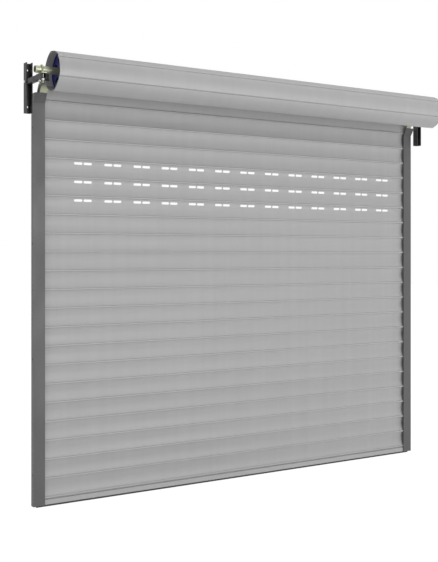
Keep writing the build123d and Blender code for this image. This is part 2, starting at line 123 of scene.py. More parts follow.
def meet(a, radius_a, b, radius_b):
    """The crossing of two circles that lies furthest out."""
    dx, dy = b[0] - a[0], b[1] - a[1]
    gap = hypot(dx, dy)
    along = (radius_a**2 - radius_b**2 + gap**2) / (2 * gap)
    aside = sqrt(radius_a**2 - along**2)
    foot = (a[0] + along * dx / gap, a[1] + along * dy / gap)
    return max((foot[0] + s * aside * dy / gap, foot[1] - s * aside * dx / gap) for s in (1, -1))

# %% The slat's arcs
def slat_arcs():
    """The middle line of a slat, hook at (0, 0) and curl at (0, pitch)."""
    hook, curl = (0.0, 0.0), (0.0, PITCH)
    shoulder = polar(curl, SHOULDER - CURL, SHOULDER_DIRECTION)
    height = PITCH / 2 + BODY_SHIFT
    depth = sqrt((BODY - SHOULDER) ** 2 - (shoulder[1] - height) ** 2)
    body = (shoulder[0] - depth, height)
    neck = meet(hook, HOOK + NECK, body, BODY - NECK)
    hook_end = bearing(neck, hook)
    neck_end = bearing(neck, body)
    body_end = bearing(shoulder, body)
    shoulder_end = SHOULDER_DIRECTION + 180.0
    return [(hook, HOOK, HOOK_TAIL, hook_end),
            (neck, NECK, hook_end - 180.0, neck_end),
            (body, BODY, neck_end, body_end),
            (shoulder, SHOULDER, body_end, shoulder_end),
            (curl, CURL, shoulder_end, CURL_TAIL)]

# %% The slat's outline
FEWEST_CHORDS = 3
CHORD_ANGLE = 16.0
CHORD_LENGTH = 0.0054


def ribbon(arcs, sheet):
    """Two matching lists of points, one on each face of the bent sheet."""
    near, far = [], []
    for centre, radius, start, end in arcs:
        bend = end - start
        count = max(FEWEST_CHORDS, int(abs(bend) / CHORD_ANGLE),
                    int(abs(radians(bend)) * radius / CHORD_LENGTH))
        side = sheet / 2 if bend > 0 else -sheet / 2
        for i in range(1 if near else 0, count + 1):
            angle = start + bend * i / count
            near.append(polar(centre, radius - side, angle))
            far.append(polar(centre, radius + side, angle))
    return near, far


slat_outline = ribbon(slat_arcs(), SHEET)
print("points on each face", len(slat_outline[0]))

# %% [markdown]
# The blank is that outline swept along X, and all later copies reuse it. A curve with a profile
# could sweep it, but its ends would need caps, so `bmesh` joins two rings of points and fills the
# ends as strips. Each point also stores how far up the slat it lies, for the paint.

# %% The slat blank
def linked(name, data):
    """An object at the origin, in the scene."""
    made = bpy.data.objects.new(name, data)
    bpy.context.scene.collection.objects.link(made)
    return made


def drop(*tools):
    """Remove objects that only served to make others."""
    for tool in tools:
        bpy.data.objects.remove(tool)


def kept(name, mesh):
    """Turn a finished bmesh into an object."""
    data = bpy.data.meshes.new(name)
    mesh.to_mesh(data)
    mesh.free()
    return linked(name, data)


def swept(name, near, far, low_x, high_x):
    """A closed strip of sheet between two X planes."""
    mesh = bmesh.new()
    rings = [[mesh.verts.new((x, y, z)) for y, z in near + far[::-1]] for x in (low_x, high_x)]
    size = len(rings[0])
    for i in range(size):
        j = (i + 1) % size
        mesh.faces.new((rings[0][i], rings[0][j], rings[1][j], rings[1][i]))
    for ring in rings:
        for i in range(len(near) - 1):
            mesh.faces.new((ring[i], ring[i + 1], ring[size - 2 - i], ring[size - 1 - i]))
    bmesh.ops.recalc_face_normals(mesh, faces=mesh.faces)
    return kept(name, mesh)


def mark_heights(data):
    """Store on each point how far up its slat it lies: 0 at the hook, 1 at the curl."""
    share = data.attributes.new("slat_height", "FLOAT", "POINT")
    for item, point in zip(share.data, data.vertices):
        item.value = point.co.z / PITCH


slat_blank = swept("slat_blank", *slat_outline, -HALF, HALF)
mark_heights(slat_blank.data)
print("slat blank", len(slat_blank.data.polygons), "faces")

# %% [markdown]
# What repeats could be copied in a Python loop, but Geometry Nodes say a pattern once, with its
# sizes as named inputs, and make it fast. `new_tree` makes a tree with its inputs, `add` makes a
# node and wires it, and short helpers stand for the nodes used most. `grow` runs a tree on an
# empty object and keeps the result as a plain mesh, so that nothing stays live.

# %% Helpers that build a tree
def new_tree(name, sockets):
    """A node tree with named inputs and a Material. Returns it and its sockets by name."""
    tree = bpy.data.node_groups.new(name, "GeometryNodeTree")
    for way in ("INPUT", "OUTPUT"):
        tree.interface.new_socket("Geometry", in_out=way, socket_type="NodeSocketGeometry")
    for label, kind in [*sockets.items(), ("Material", "Material")]:
        tree.interface.new_socket(label, in_out="INPUT", socket_type="NodeSocket" + kind)
    source = tree.nodes.new("NodeGroupInput")
    return tree, {socket.name: socket for socket in source.outputs if socket.name}


def add(tree, kind, inputs=None, out=0, **settings):
    """A node with its settings and inputs. Returns the chosen output socket."""
    node = tree.nodes.new(kind)
    for key, value in settings.items():
        setattr(node, key, value)
    for label, value in (inputs or {}).items():
        values = value if isinstance(value, (list, tuple)) else [value]
        if isinstance(values[0], bpy.types.NodeSocket):
            for link in values:
                tree.links.new(link, node.inputs[label])
        else:
            node.inputs[label].default_value = value
    return node.outputs[out]


def math(tree, operation, a, b=0.0):
    """The result of a sum on two numbers or sockets."""
    return add(tree, "ShaderNodeMath", {0: a, 1: b}, operation=operation)


def times(tree, a, b):
    """The product of two numbers or sockets."""
    return math(tree, "MULTIPLY", a, b)


def place(tree, x=0.0, y=0.0, z=0.0):
    """A vector from three numbers or sockets."""
    return add(tree, "ShaderNodeCombineXYZ", {"X": x, "Y": y, "Z": z})

# %% Helpers for the nodes used most
def shape_of(tree, thing):
    """The geometry of an object that the tree is given."""
    return add(tree, "GeometryNodeObjectInfo", {"Object": thing}, out="Geometry")


def moved(tree, geometry, **inputs):
    """Geometry after a Translation, Rotation or Scale."""
    return add(tree, "GeometryNodeTransform", {"Geometry": geometry, **inputs})


def line_of(tree, count, start, step):
    """Points in a line, from a start and with a step."""
    return add(tree, "GeometryNodeMeshLine", {
        "Count": count, "Start Location": start, "Offset": step}, mode="OFFSET")


def turned_to(tree, euler):
    """A rotation from Euler angles."""
    return add(tree, "FunctionNodeEulerToRotation", {"Euler": euler})


def set_on(tree, points, shape, **inputs):
    """A copy of a shape on each point, with a Rotation or Scale if given."""
    return add(tree, "GeometryNodeInstanceOnPoints", {
        "Points": points, "Instance": shape, **inputs})


def cut_out(tree, solid, tool):
    """A solid with a tool's shape taken out of it."""
    return add(tree, "GeometryNodeMeshBoolean", {"Mesh 1": solid, "Mesh 2": tool},
               operation="DIFFERENCE", solver="EXACT")

# %% Close a tree and grow its piece
SMOOTH, CRISP, ROUND = 32.0, 20.0, 60.0


def close(tree, geometry, material):
    """End a tree: copies made real, and the finish set."""
    real = add(tree, "GeometryNodeRealizeInstances", {"Geometry": geometry})
    painted = add(tree, "GeometryNodeSetMaterial", {"Geometry": real, "Material": material})
    end = tree.nodes.new("NodeGroupOutput")
    tree.links.new(painted, end.inputs[0])


def grow(name, tree, material, values, smooth=SMOOTH):
    """Run a tree and keep what it made as a plain mesh object at the origin."""
    values = {**values, "Material": material}
    seed = linked(name + "_seed", bpy.data.meshes.new(name + "_seed"))
    modifier = seed.modifiers.new("grow", "NODES")
    modifier.node_group = tree
    for item in tree.interface.items_tree:
        if item.in_out == "INPUT" and item.name in values:
            modifier[item.identifier] = values[item.name]
    graph = bpy.context.evaluated_depsgraph_get()
    data = bpy.data.meshes.new_from_object(seed.evaluated_get(graph))
    seed.modifiers.remove(modifier)
    drop(seed)
    data.name = name
    data.shade_smooth()
    data.set_sharp_from_angle(angle=radians(smooth))
    data.calc_loop_triangles()
    print(name, len(data.loop_triangles), "triangles")
    return linked(name, data)


def piece(made, body, slot, *stands_for):
    """Seat a finished piece on its body, and hide the nodes it stands for. The slot is not used."""
    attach(made, body)
    if stands_for:
        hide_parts(*stands_for)

# %% [markdown]
# A finish could be one colour, but no real one is. Each is a base colour times a slow pattern,
# with its gloss and its relief from patterns too. They read Object coordinates, in metres, so
# they stay put on each piece and need no unwrapping. `finish` starts a material, `noise` and
# `ramp` shape a pattern, `tone` darkens or lightens a colour by it, and `bump` turns it into
# relief.

# %% Helpers for patterns
EVEN = (1.0, 1.0, 1.0)
BAND = (0.3, 0.7)


def finish(name, rough, metal=0.0):
    """A new material. Returns it with its tree, shader and Object coordinates."""
    material = bpy.data.materials.new(name)
    material.use_nodes = True
    tree = material.node_tree
    shader = tree.nodes["Principled BSDF"]
    shader.inputs["Roughness"].default_value = rough
    shader.inputs["Metallic"].default_value = metal
    coordinates = add(tree, "ShaderNodeTexCoord", out="Object")
    return material, tree, shader, coordinates


def noise(tree, coordinates, scale, stretch=EVEN, detail=3.0):
    """A noise with its own scale on each axis."""
    mapped = add(tree, "ShaderNodeMapping", {"Vector": coordinates, "Scale": stretch})
    return add(tree, "ShaderNodeTexNoise", {"Vector": mapped, "Scale": scale, "Detail": detail})


def ramp(tree, value, given, wanted):
    """Map a value from one range to another, held at its ends."""
    return add(tree, "ShaderNodeMapRange", {
        "Value": value, "From Min": given[0], "From Max": given[1],
        "To Min": wanted[0], "To Max": wanted[1]})

# %% Helpers that use a pattern
MIX_A, MIX_B, MIX_RESULT = 6, 7, 2


def tone(tree, colour, factor):
    """A colour made lighter or darker by a factor around 1."""
    grey = add(tree, "ShaderNodeCombineColor", {"Red": factor, "Green": factor, "Blue": factor})
    return add(tree, "ShaderNodeMix", {MIX_A: colour, MIX_B: grey, "Factor": 1.0},
               out=MIX_RESULT, data_type="RGBA", blend_type="MULTIPLY")


def drive(tree, shader, colour, rough=None):
    """Wire a colour and a roughness to the shader."""
    tree.links.new(colour, shader.inputs["Base Color"])
    if rough:
        tree.links.new(rough, shader.inputs["Roughness"])


def bump(tree, shader, height, distance, strength):
    """Drive the shader's normal with a height."""
    normal = add(tree, "ShaderNodeBump", {
        "Height": height, "Distance": distance, "Strength": strength})
    tree.links.new(normal, shader.inputs["Normal"])

# %% [markdown]
# The slats are coil-coated: painted before they are rolled. The coat's tone drifts a little from
# slat to slat, rain leaves faint vertical streaks, and rolling leaves fine lengthwise marks.
# Light and shade are painted into the coat as well: each slat's belly gets painted shade and the
# hollows at its seams painted light, which evens out the shading of the curved sheet. One noise
# over the whole curtain would miss that. It follows each slat, on the roll too, so it reads the
# height that is stored on the blank.

# %% Coil-coated slat steel
SLAT_GREY = (0.385, 0.385, 0.385, 1.0)
# Painted shade on each slat's belly and painted light in the hollows at its seams.
BELLY = 0.48
BELLY_REACH = (0.12, 0.45)
PAINTED_LIGHT_TONES = (0.955, 1.045)
BATCH_TONES = (0.985, 1.015)
STREAK_TONES = (0.975, 1.02)
CLOUD_TONES = (0.98, 1.02)
SLAT_ROUGH = (0.40, 0.52)


def slat_paint():
    material, tree, shader, coordinates = finish("slat_coil_coat", rough=0.46)
    up = add(tree, "ShaderNodeSeparateXYZ", {"Vector": coordinates}, out="Z")
    above_seam = math(tree, "SUBTRACT", up, FIRST_SEAM)
    strip = math(tree, "FLOOR", math(tree, "DIVIDE", above_seam, PITCH))
    batch = add(tree, "ShaderNodeTexWhiteNoise", {"W": strip}, noise_dimensions="1D")
    per_slat = ramp(tree, batch, (0.0, 1.0), BATCH_TONES)
    rain = noise(tree, coordinates, scale=2.2, stretch=(9.0, 1.0, 0.35))
    streaks = ramp(tree, rain, BAND, STREAK_TONES)
    cloud = ramp(tree, noise(tree, coordinates, scale=1.6, detail=4.0), BAND, CLOUD_TONES)
    height = add(tree, "ShaderNodeAttribute", out="Fac", attribute_name="slat_height")
    # Painted light and shade: darker at the slat's belly, lighter towards its hook and its curl.
    from_belly = math(tree, "ABSOLUTE", math(tree, "SUBTRACT", height, BELLY))
    painted_light_and_shade = ramp(tree, from_belly, BELLY_REACH, PAINTED_LIGHT_TONES)
    factor = times(tree, times(tree, per_slat, streaks), times(tree, cloud, painted_light_and_shade))
    drive(tree, shader, tone(tree, SLAT_GREY, factor), ramp(tree, cloud, CLOUD_TONES, SLAT_ROUGH))
    marks = noise(tree, coordinates, scale=6.0, stretch=(0.6, 60.0, 60.0), detail=4.0)
    bump(tree, shader, marks, distance=0.00012, strength=0.35)
    return material


slat_steel = slat_paint()
print(slat_steel.name, len(slat_steel.node_tree.nodes), "nodes")

# %% [markdown]
# The other finishes come in three kinds, so three functions make them all. Paint on sheet has a
# fine orange-peel skin and dulled patches. Passivated zinc is a metal with cloudy colour. Nylon
# and rubber have a moulded grain and some dust. A material for each piece would only repeat
# these.

# %% Paint on sheet
def sheet_paint(name, colour, rough, worn):
    """Brushed-on or powder paint. `worn` is how far its tone drifts."""
    material, tree, shader, coordinates = finish(name, rough)
    tones = (1.0 - worn, 1.0 + worn)
    wear = noise(tree, coordinates, scale=7.0, stretch=(1.0, 1.0, 0.4), detail=5.0)
    patches = ramp(tree, wear, (0.35, 0.7), tones)
    drive(tree, shader, tone(tree, colour, patches),
          ramp(tree, patches, tones, (rough + 0.1, rough - 0.06)))
    skin = noise(tree, coordinates, scale=900.0, detail=2.0)
    bump(tree, shader, skin, distance=0.00008, strength=0.3)
    return material

# %% Passivated zinc
COOL_SHIFT = (0.86, 0.97, 1.2)


def zinc(name, colour, rough):
    """Passivated zinc: metallic, with cloudy iridescence dulled by handling."""
    material, tree, shader, coordinates = finish(name, rough, metal=0.75)
    clouds = noise(tree, coordinates, scale=26.0, detail=5.0)
    warm = tone(tree, colour, ramp(tree, clouds, BAND, (0.82, 1.15)))
    cool = (*[part * shift for part, shift in zip(colour, COOL_SHIFT)], 1.0)
    share = ramp(tree, clouds, (0.45, 0.75), (0.0, 0.7))
    mix = add(tree, "ShaderNodeMix", {MIX_A: warm, MIX_B: cool, "Factor": share},
              out=MIX_RESULT, data_type="RGBA")
    drive(tree, shader, mix, ramp(tree, clouds, BAND, (rough - 0.08, rough + 0.14)))
    brushed = noise(tree, coordinates, scale=3.0, stretch=(40.0, 400.0, 400.0))
    bump(tree, shader, brushed, distance=0.00006, strength=0.3)
    return material

# %% Nylon and rubber
def moulded(name, colour, rough, grain):
    """Nylon or rubber. `grain` is the scale of its relief."""
    material, tree, shader, coordinates = finish(name, rough)
    dust = ramp(tree, noise(tree, coordinates, scale=18.0, detail=4.0), (0.45, 0.8), (1.0, 1.6))
    drive(tree, shader, tone(tree, colour, dust))
    bump(tree, shader, noise(tree, coordinates, scale=grain, detail=2.0),
         distance=0.0001, strength=0.4)
    return material

# %% Every finish by its slot
finishes = {
    "slat_steel": slat_steel,
    "guide_steel": sheet_paint("guide_grey_paint", (0.090, 0.090, 0.092, 1.0), 0.45, worn=0.05),
    "bracket_steel": sheet_paint("bracket_black_paint", (0.022, 0.022, 0.023, 1.0), 0.5, worn=0.18),
    "drum_blue": sheet_paint("drum_navy_paint", (0.026, 0.030, 0.150, 1.0), 0.35, worn=0.12),
    "zinc_yellow": zinc("yellow_passivated_zinc", (0.44, 0.452, 0.32, 1.0), 0.38),
    "fastener_steel": zinc("bright_zinc", (0.58, 0.58, 0.56, 1.0), 0.32),
    "spring_steel": zinc("blued_spring_steel", (0.16, 0.17, 0.21, 1.0), 0.34),
    "nylon": moulded("black_nylon", (0.080, 0.080, 0.080, 1.0), 0.55, grain=700.0),
    "seal_rubber": moulded("seal_rubber", (0.030, 0.030, 0.030, 1.0), 0.75, grain=900.0)}
bright_zinc = finishes["fastener_steel"]
print(len(finishes), "finishes")

# %% [markdown]
# Guides, brackets, drums, axle, rail and seal are folded, turned or pressed pieces whose shape in
# the frame is already right. They could be made again, but nothing would be gained, so they only
# take their finish. The record says which slot each one belongs to.

# %% Finish the frame's pieces
slot_of = {row["node"]: row["material_slot"] for row in frame["record"]["subparts"]}
for name, slot in slot_of.items():
    mesh = nodes[name].data
    mesh.materials.clear()
    mesh.materials.append(finishes[slot])
print(len(slot_of), "frame pieces finished")

# %% [markdown]
# The vented slats have slots in pairs, punched before the strip is rolled. A Boolean with 26
# tools, one after another, would be slow. Here one punch, a bar with filleted corners, is set out
# in a row of pairs by the tree, which cuts them all out of the blank at once.

# %% Punch the vented blank
SLOT_LENGTH = 0.056
SLOT_HEIGHT = 0.015
SLOT_BRIDGE = 0.008
SLOT_SPACING = 0.2058
SLOT_OFFSET = 0.030
SLOT_GROUPS = 13
SLOT_BELOW_SEAM = 0.025
CORNER_SHARE = 0.49
CORNER_STEPS = 6
PUNCH_DEPTH = 0.1
WELD = 1e-5


def punch_tree():
    tree, given = new_tree("punch_slots", {
        "Blank": "Object", "Groups": "Int", "Spacing": "Float", "Offset": "Float",
        "Length": "Float", "Height": "Float", "Bridge": "Float", "Place": "Float"})
    outline = add(tree, "GeometryNodeCurvePrimitiveQuadrilateral", {
        "Width": given["Length"], "Height": given["Height"]})
    rounded = add(tree, "GeometryNodeFilletCurve", {
        "Curve": outline, "Radius": times(tree, given["Height"], CORNER_SHARE),
        "Count": CORNER_STEPS}, mode="POLY")
    face = add(tree, "GeometryNodeFillCurve", {"Curve": rounded}, mode="NGONS")
    bar = add(tree, "GeometryNodeExtrudeMesh", {"Mesh": face, "Offset": place(tree, z=PUNCH_DEPTH)})
    back = add(tree, "GeometryNodeFlipFaces", {"Mesh": face})
    shut = add(tree, "GeometryNodeJoinGeometry", {"Geometry": [bar, back]})
    welded = add(tree, "GeometryNodeMergeByDistance", {"Geometry": shut, "Distance": WELD})
    upright = moved(tree, welded, Translation=(0, PUNCH_DEPTH / 2, 0), Rotation=(pi / 2, 0, 0))
    aside = times(tree, math(tree, "ADD", given["Length"], given["Bridge"]), 0.5)
    left = moved(tree, upright, Translation=place(tree, x=times(tree, aside, -1.0)))
    right = moved(tree, upright, Translation=place(tree, x=aside))
    pair = add(tree, "GeometryNodeJoinGeometry", {"Geometry": [left, right]})
    length = times(tree, math(tree, "SUBTRACT", given["Groups"], 1.0), given["Spacing"])
    start = math(tree, "SUBTRACT", given["Offset"], times(tree, length, 0.5))
    line = line_of(tree, given["Groups"], place(tree, x=start, z=given["Place"]),
                   place(tree, x=given["Spacing"]))
    punches = add(tree, "GeometryNodeRealizeInstances", {"Geometry": set_on(tree, line, pair)})
    close(tree, cut_out(tree, shape_of(tree, given["Blank"]), punches), given["Material"])
    return tree

# %% Grow the vented blank
vented_blank = grow("vented_blank", punch_tree(), slat_steel, {
    "Blank": slat_blank, "Groups": SLOT_GROUPS, "Spacing": SLOT_SPACING, "Offset": SLOT_OFFSET,
    "Length": SLOT_LENGTH, "Height": SLOT_HEIGHT, "Bridge": SLOT_BRIDGE,
    "Place": PITCH - SLOT_BELOW_SEAM})

# %% [markdown]
# The curtain is a stack of blanks, one pitch apart. When the shutter opens, the real curtain
# winds onto the roll, which a rigid stack can't do: it would stand up behind the roll. The pieces
# above the lowest slat each get a mesh of their own, but nothing here flattens them as the
# curtain rises, and the lowest slat is left as it is.

# %% A tree that stacks slats
def stack_tree():
    tree, given = new_tree("stack_slats", {
        "Blank": "Object", "Count": "Int", "First": "Float", "Pitch": "Float", "Line": "Float"})
    line = line_of(tree, given["Count"], place(tree, y=given["Line"], z=given["First"]),
                   place(tree, z=given["Pitch"]))
    close(tree, set_on(tree, line, shape_of(tree, given["Blank"])), given["Material"])
    return tree

# %% Stack the curtain
VENTED = (16, 17, 18)
WHOLE = round((TOP_SEAM - FIRST_SEAM - TRAVEL) / PITCH)
print("slats that stay whole", WHOLE)


def fold(made):
    """Give a piece a mesh of its own."""
    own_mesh(made)


stack = stack_tree()
groups = {"lowest_slat": (slat_blank, 1, WHOLE),
          "slats_below_vents": (slat_blank, WHOLE + 1, VENTED[0] - 1 - WHOLE),
          "slats_with_vents": (vented_blank, VENTED[0], len(VENTED)),
          "slats_above_vents": (slat_blank, VENTED[-1] + 1, SLATS - VENTED[-1])}
for name, (blank, first, count) in groups.items():
    made = grow(name, stack, slat_steel, {
        "Blank": blank, "Count": count, "First": FIRST_SEAM + (first - 1) * PITCH,
        "Pitch": PITCH, "Line": HINGE_Y})
    piece(made, "curtain", "slat_steel", *[f"slat_{n:02d}" for n in range(first, first + count)])
    if first > WHOLE:
        fold(made)

# %% [markdown]
# On the roll the same strip lies in a turn, and each slat leans half a step past its own hook. A
# circle of instances would face the axle, without that lean. So the tree first seats the blank
# with its lean, and then turns a copy about the axle for each step. The same blank, placed twice,
# makes the two slats that lean from the guides to the roll.

# %% A tree that winds slats
TURN_COUNT = 6
STEP = 360.0 / TURN_COUNT
FIRST_ANGLE = 21.0
HINGE_RADIUS = PITCH / 2 / sin(radians(STEP / 2))


def wind_tree():
    tree, given = new_tree("wind_slats", {
        "Blank": "Object", "Count": "Int", "Radius": "Float", "First Angle": "Float",
        "Step": "Float", "Axle Y": "Float", "Axle Z": "Float", "Every": "Int"})
    seated = moved(tree, shape_of(tree, given["Blank"]),
                   Translation=place(tree, y=given["Radius"]),
                   Rotation=place(tree, x=times(tree, given["Step"], 0.5)))
    axle = line_of(tree, given["Count"], place(tree, y=given["Axle Y"], z=given["Axle Z"]),
                   (0.0, 0.0, 0.0))
    index = add(tree, "GeometryNodeInputIndex")
    steps = times(tree, times(tree, index, given["Every"]), given["Step"])
    angle = math(tree, "ADD", given["First Angle"], steps)
    rows = set_on(tree, axle, seated, Rotation=turned_to(tree, place(tree, x=angle)))
    close(tree, rows, given["Material"])
    return tree

# %% Wind the roll
wind = wind_tree()


def wound_row(name, blank, material, count, first_angle, every):
    """Copies of a blank wound about the axle."""
    return grow(name, wind, material, {
        "Blank": blank, "Count": count, "Radius": HINGE_RADIUS, "First Angle": radians(first_angle),
        "Step": radians(STEP), "Axle Y": AXLE_Y, "Axle Z": AXLE_Z, "Every": every})


wound = wound_row("wound_slats", slat_blank, slat_steel, TURN_COUNT - 1, FIRST_ANGLE, every=1)
piece(wound, "roll", "slat_steel", *[f"wound_slat_{n}" for n in range(1, TURN_COUNT)])

# %% The leaning slats
LOWER_LEAN = 28.27
UPPER_LEAN = 49.86


def leaning_slat(name, hinge, lean, node):
    """One more blank, seated on a hinge point and leaned towards the roll."""
    data = slat_blank.data.copy()
    tilt = Matrix.Rotation(radians(lean), 4, "X")
    data.transform(Matrix.Translation((0, hinge[0], hinge[1])) @ tilt)
    data.materials.append(slat_steel)
    data.shade_smooth()
    data.set_sharp_from_angle(angle=radians(SMOOTH))
    piece(linked(name, data), "frame", "slat_steel", node)


lead_foot = (HINGE_Y, TOP_SEAM)
lead_middle = polar(lead_foot, PITCH, LOWER_LEAN + 90.0)
leaning_slat("leaning_slat_lower", lead_foot, LOWER_LEAN, "lead_slat_lower")
leaning_slat("leaning_slat_upper", lead_middle, UPPER_LEAN, "lead_slat_upper")
drop(slat_blank, vented_blank)
print("the leaning slats meet at", [round(v, 4) for v in lead_middle])

# %% [markdown]
# Locks, rivets, nuts, bolts and screws are turned, stamped or cut from bar, and each kind appears
# many times. Modelling each in place would be long, so each is drawn once as a blank and set out
# in numbers. `turned` spins a profile about Z, as on a lathe. `spots` holds the places and turns
# of the copies as the points of a tiny mesh, and one tree puts a copy of the blank on each.

# %% Turned shapes
LATHE_STEPS = 24
CROWN_STEPS = 6


def turned(name, profile, steps=LATHE_STEPS):
    """A closed lathe shape from (radius, height) points; a radius of 0 closes an end."""
    mesh = bmesh.new()
    rings = []
    for radius, height in profile:
        angles = [2 * pi * i / steps for i in range(steps)] if radius else [0.0]
        rings.append([mesh.verts.new((radius * cos(a), radius * sin(a), height)) for a in angles])
    for low, high in zip(rings, rings[1:]):
        for i in range(steps):
            j = (i + 1) % steps
            round_face = ((low, i), (low, j), (high, j), (high, i))
            corners = [ring[k % len(ring)] for ring, k in round_face]
            mesh.faces.new(list(dict.fromkeys(corners)))
    bmesh.ops.recalc_face_normals(mesh, faces=mesh.faces)
    return kept(name, mesh)


def crown(radius, rise):
    """The profile of a domed head, from its rim to its top."""
    ball = (radius**2 + rise**2) / (2 * rise)
    heights = [rise * i / CROWN_STEPS for i in range(CROWN_STEPS)]
    dome = [(sqrt(ball**2 - (ball - rise + height) ** 2), height) for height in heights]
    return dome + [(0.0, rise)]


def raised(height):
    """A move along Z."""
    return Matrix.Translation((0, 0, height))


def joined(name, *parts):
    """One object from (object, matrix) pairs. The objects are used up."""
    mesh = bmesh.new()
    for part, matrix in parts:
        data = part.data.copy()
        data.transform(matrix)
        mesh.from_mesh(data)
        bpy.data.meshes.remove(data)
    drop(*{part for part, _ in parts})
    return kept(name, mesh)

# %% Copies of a blank
def spots(name, rows):
    """Points for copies: rows of a place and an Euler turn."""
    data = bpy.data.meshes.new(name)
    data.from_pydata([location for location, _ in rows], [], [])
    turns = data.attributes.new("turn", "FLOAT_VECTOR", "POINT")
    for item, (_, euler) in zip(turns.data, rows):
        item.vector = euler
    return linked(name, data)


def copies_tree():
    tree, given = new_tree("set_copies", {"Blank": "Object", "Spots": "Object"})
    turns = add(tree, "GeometryNodeInputNamedAttribute", {"Name": "turn"}, data_type="FLOAT_VECTOR")
    rows = set_on(tree, shape_of(tree, given["Spots"]), shape_of(tree, given["Blank"]),
                  Rotation=turned_to(tree, turns))
    close(tree, rows, given["Material"])
    return tree


copies = copies_tree()
UNTURNED = (0, 0, 0)


def set_out(name, blank, rows, finish_name, smooth=SMOOTH):
    """Copies of a blank at each spot, as one mesh. The blank is used up."""
    points = spots(name + "_spots", rows)
    made = grow(name, copies, finishes[finish_name], {"Blank": blank, "Spots": points}, smooth)
    drop(points, blank)
    return made

# %% [markdown]
# End locks keep the slats from drifting sideways. A curved plate lies in the hollow at both ends
# of every second slat, held by two domed rivets, and stands a little past the slat's end. A flat
# plate bent by a modifier would only come near the hollow, so the plate is one more ribbon, on
# the slat's own arc. The trees that placed the slats also place the locks, up the curtain and
# round the roll.

# %% The lock's plate and rivets
LOCK_SHEET = 0.002
LOCK_GAP = 0.0002
LOCK_LENGTH = 0.027
LOCK_HEIGHT = 0.060
LOCK_OVERHANG = 0.004
LOCK_RIVETS = (-0.6, 0.6)
RIVET_FROM_MIDDLE = -0.12
RIVET = 0.0045
RIVET_RISE = 0.0022
RIVET_SINK = 0.0006
RIVET_STEPS = 16
lock_slot = slot_of["slat_end_clips"]


def rivet(name):
    """A domed rivet head on Z = 0, sunk a little into what carries it."""
    foot = [(0.0, -RIVET_SINK), (RIVET, -RIVET_SINK)]
    return turned(name, foot + crown(RIVET, RIVET_RISE), RIVET_STEPS)


body_centre = slat_arcs()[2][0]
lock_radius = BODY - SHEET / 2 - LOCK_GAP - LOCK_SHEET / 2
lock_half = degrees(LOCK_HEIGHT / 2 / lock_radius)
lock_outline = ribbon([(body_centre, lock_radius, lock_half, -lock_half)], LOCK_SHEET)
plate = swept("lock_plate", *lock_outline, -LOCK_LENGTH / 2, LOCK_LENGTH / 2)
head = rivet("lock_rivet")
lock_parts = [(plate, Matrix())]
for share in LOCK_RIVETS:
    angle = lock_half * share
    y, z = polar(body_centre, lock_radius - LOCK_SHEET / 2, angle)
    seat = Matrix.Translation((LOCK_LENGTH * RIVET_FROM_MIDDLE, y, z))
    lock_parts.append((head, seat @ Matrix.Rotation(radians(angle) + pi / 2, 4, "X")))
lock = joined("lock", *lock_parts)
reach = HALF + LOCK_OVERHANG - LOCK_LENGTH / 2
lock_rows = [((side * reach, 0, 0), UNTURNED) for side in (-1, 1)]
lock_pair = set_out("lock_pair", lock, lock_rows, "nylon")

# %% Set the locks on the slats
for name, first, count in (("lowest_end_locks", 1, 1), ("curtain_end_locks", 3, (SLATS - 1) // 2)):
    locks = grow(name, stack, finishes[lock_slot], {
        "Blank": lock_pair, "Count": count, "First": FIRST_SEAM + (first - 1) * PITCH,
        "Pitch": 2 * PITCH, "Line": HINGE_Y})
    piece(locks, "curtain", lock_slot, "slat_end_clips")
    if first > WHOLE:
        fold(locks)
roll_locks = wound_row("roll_end_locks", lock_pair, finishes[lock_slot], TURN_COUNT // 2,
                       FIRST_ANGLE + STEP, every=2)
piece(roll_locks, "roll", lock_slot)
drop(lock_pair)

# %% [markdown]
# The springs balance the curtain: flat strips wound in each drum, inner end on the axle's collar.
# The Screw modifier could wind one, but its strip would climb. A spiral curve with a rectangular
# profile stays flat, and the drums' own places in the frame set the four.

# %% A tree that coils a strip
SPRING_TURNS = 9.0
SPRING_SHEET = 0.0016
SPRING_STRIP = 0.050
SPRING_RESOLUTION = 40
RIM_SHEET = 0.002
drum_names = ["drum_left_end", "drum_left_inner", "drum_right_inner", "drum_right_end"]
drum_places = [middle(name)[0] for name in drum_names]
drum_radius = span(drum_names[0])[2] / 2
collar_radius = span("spring_collars")[2] / 2


def spring_tree():
    tree, given = new_tree("coil_spring", {
        "Turns": "Float", "Inner": "Float", "Outer": "Float", "Sheet": "Float", "Strip": "Float"})
    line = add(tree, "GeometryNodeCurveSpiral", {
        "Resolution": SPRING_RESOLUTION, "Rotations": given["Turns"],
        "Start Radius": given["Inner"], "End Radius": given["Outer"], "Height": 0.0})
    level = add(tree, "GeometryNodeSetCurveNormal", {"Curve": line}, mode="Z_UP")
    strip = add(tree, "GeometryNodeCurvePrimitiveQuadrilateral", {
        "Width": given["Sheet"], "Height": given["Strip"]})
    coil = add(tree, "GeometryNodeCurveToMesh", {
        "Curve": level, "Profile Curve": strip, "Fill Caps": True})
    close(tree, moved(tree, coil, Rotation=(0, pi / 2, 0)), given["Material"])
    return tree

# %% Wind the springs
spring = grow("spring_blank", spring_tree(), finishes["spring_steel"], {
    "Turns": SPRING_TURNS, "Inner": collar_radius + SPRING_SHEET / 2,
    "Outer": drum_radius - RIM_SHEET - SPRING_SHEET, "Sheet": SPRING_SHEET,
    "Strip": SPRING_STRIP})
print("spring", [round(v, 4) for v in spring.dimensions])
spring_rows = [((x, AXLE_Y, AXLE_Z), UNTURNED) for x in drum_places]
springs = set_out("flat_springs", spring, spring_rows, "spring_steel")
piece(springs, "roll", "spring_steel", "drum_springs")

# %% [markdown]
# The drums' faces are welded into their rims by short tacks. Equal beads would look stamped, so
# each tack is a stretched bead on a circle, a little different in size, and one ring of them is
# laid on every drum face.

